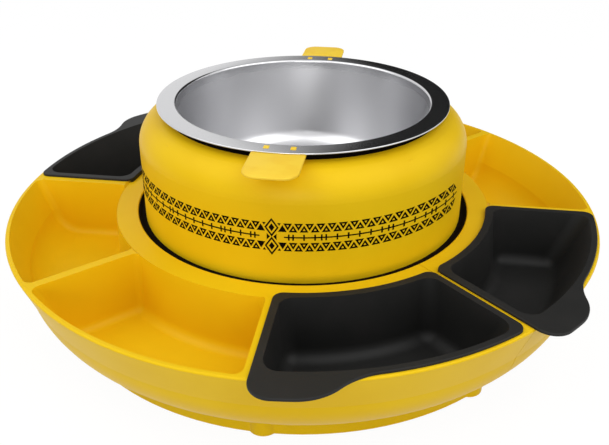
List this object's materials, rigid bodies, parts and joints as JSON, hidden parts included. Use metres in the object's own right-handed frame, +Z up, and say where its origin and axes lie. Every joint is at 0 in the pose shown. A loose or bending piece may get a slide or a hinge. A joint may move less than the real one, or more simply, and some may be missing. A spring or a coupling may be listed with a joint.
{
  "type": "electric taco maker",
  "caption": "Round table-top taco server with a heated pot and steel bowl in the middle, and a turning ring tray of food compartments with lift-out dishes around it.",
  "frame": {"origin": "on the table under the pot's axis, at the lowest point of the rubber foot pads", "axes": "+Z up along the axis of pot and tray; -Y to the front, where the bowl's front tab points; +X to the right"},
  "size_m": [0.4, 0.4268, 0.1394],
  "materials": {
    "yellow_plastic": "satin moulded, warm yellow",
    "black_plastic": "fine matt moulded",
    "yellow_silicone": "matt silicone grip",
    "bowl_steel": "polished rim, satin inside",
    "heat_resistant_black": "satin",
    "dark_plastic": "matt",
    "switch_black": "gloss",
    "rubber": "matt",
    "aluminium": "spun and cast",
    "zinc_plated_steel": "bright zinc",
    "element_steel": "annealed dark",
    "white_plastic": "natural",
    "ceramic": "glazed"
  },
  "bodies": {
    "base": {"base_housing": "yellow_plastic", "bottom_cover": "dark_plastic", "foot_pads": "rubber", "cover_screws": "zinc_plated_steel", "pot_housing": "yellow_plastic", "pot_screws": "zinc_plated_steel", "heat_collar": "heat_resistant_black", "warming_well": "aluminium", "well_screws": "zinc_plated_steel", "heater_plate": "aluminium", "heating_element": "element_steel", "thermostat": "ceramic", "thermostat_bridge": "zinc_plated_steel", "thermal_fuse": "ceramic", "heat_reflector": "zinc_plated_steel", "terminal_block": "white_plastic", "cord_gland": "heat_resistant_black", "switch_frame": "heat_resistant_black", "retainer_ring": "dark_plastic", "retainer_screws": "zinc_plated_steel"},
    "rocker": {"switch_rocker": "switch_black"},
    "ball_race": {"ball_cage": "white_plastic", "race_balls": "zinc_plated_steel"},
    "carousel": {"turntable": "dark_plastic"},
    "left_tray": {"tray_half_left": "yellow_plastic"},
    "right_tray": {"tray_half_right": "yellow_plastic"},
    "dish_1": {"food_dish_1": "black_plastic"},
    "dish_2": {"food_dish_2": "black_plastic"},
    "dish_3": {"food_dish_3": "black_plastic"},
    "dish_4": {"food_dish_4": "black_plastic"},
    "bowl": {"bowl": "bowl_steel", "front_tab": "yellow_silicone", "rear_tab": "yellow_silicone"}
  },
  "joints": [
    {"name": "carousel_spin", "type": "hinge", "parent": "base", "child": "carousel", "pos_m": [0, 0, 0.0193], "axis": [0, 0, 1], "continuous": true},
    {"name": "ball_race_spin", "type": "hinge", "parent": "base", "child": "ball_race", "pos_m": [0, 0, 0.01655], "axis": [0, 0, 1], "continuous": true},
    {"name": "left_tray_lift", "type": "slide", "parent": "carousel", "child": "left_tray", "axis": [0, 0, 1], "range_m": [0, 0.06]},
    {"name": "right_tray_lift", "type": "slide", "parent": "carousel", "child": "right_tray", "axis": [0, 0, 1], "range_m": [0, 0.06]},
    {"name": "dish_1_lift", "type": "slide", "parent": "left_tray", "child": "dish_1", "axis": [0, 0, 1], "range_m": [0, 0.06]},
    {"name": "dish_2_lift", "type": "slide", "parent": "right_tray", "child": "dish_2", "axis": [0, 0, 1], "range_m": [0, 0.06]},
    {"name": "dish_3_lift", "type": "slide", "parent": "right_tray", "child": "dish_3", "axis": [0, 0, 1], "range_m": [0, 0.06]},
    {"name": "dish_4_lift", "type": "slide", "parent": "left_tray", "child": "dish_4", "axis": [0, 0, 1], "range_m": [0, 0.06]},
    {"name": "bowl_lift", "type": "slide", "parent": "base", "child": "bowl", "axis": [0, 0, 1], "range_m": [0, 0.08]},
    {"name": "switch_rock", "type": "hinge", "parent": "base", "child": "rocker", "pos_m": [0.03206, 0.16491, 0.0083], "axis": [0, 0, 1], "range_deg": [-18, 0]}
  ],
  "couplings": [
    {"joint": "ball_race_spin", "follows": "carousel_spin", "ratio": 0.5}
  ]
}
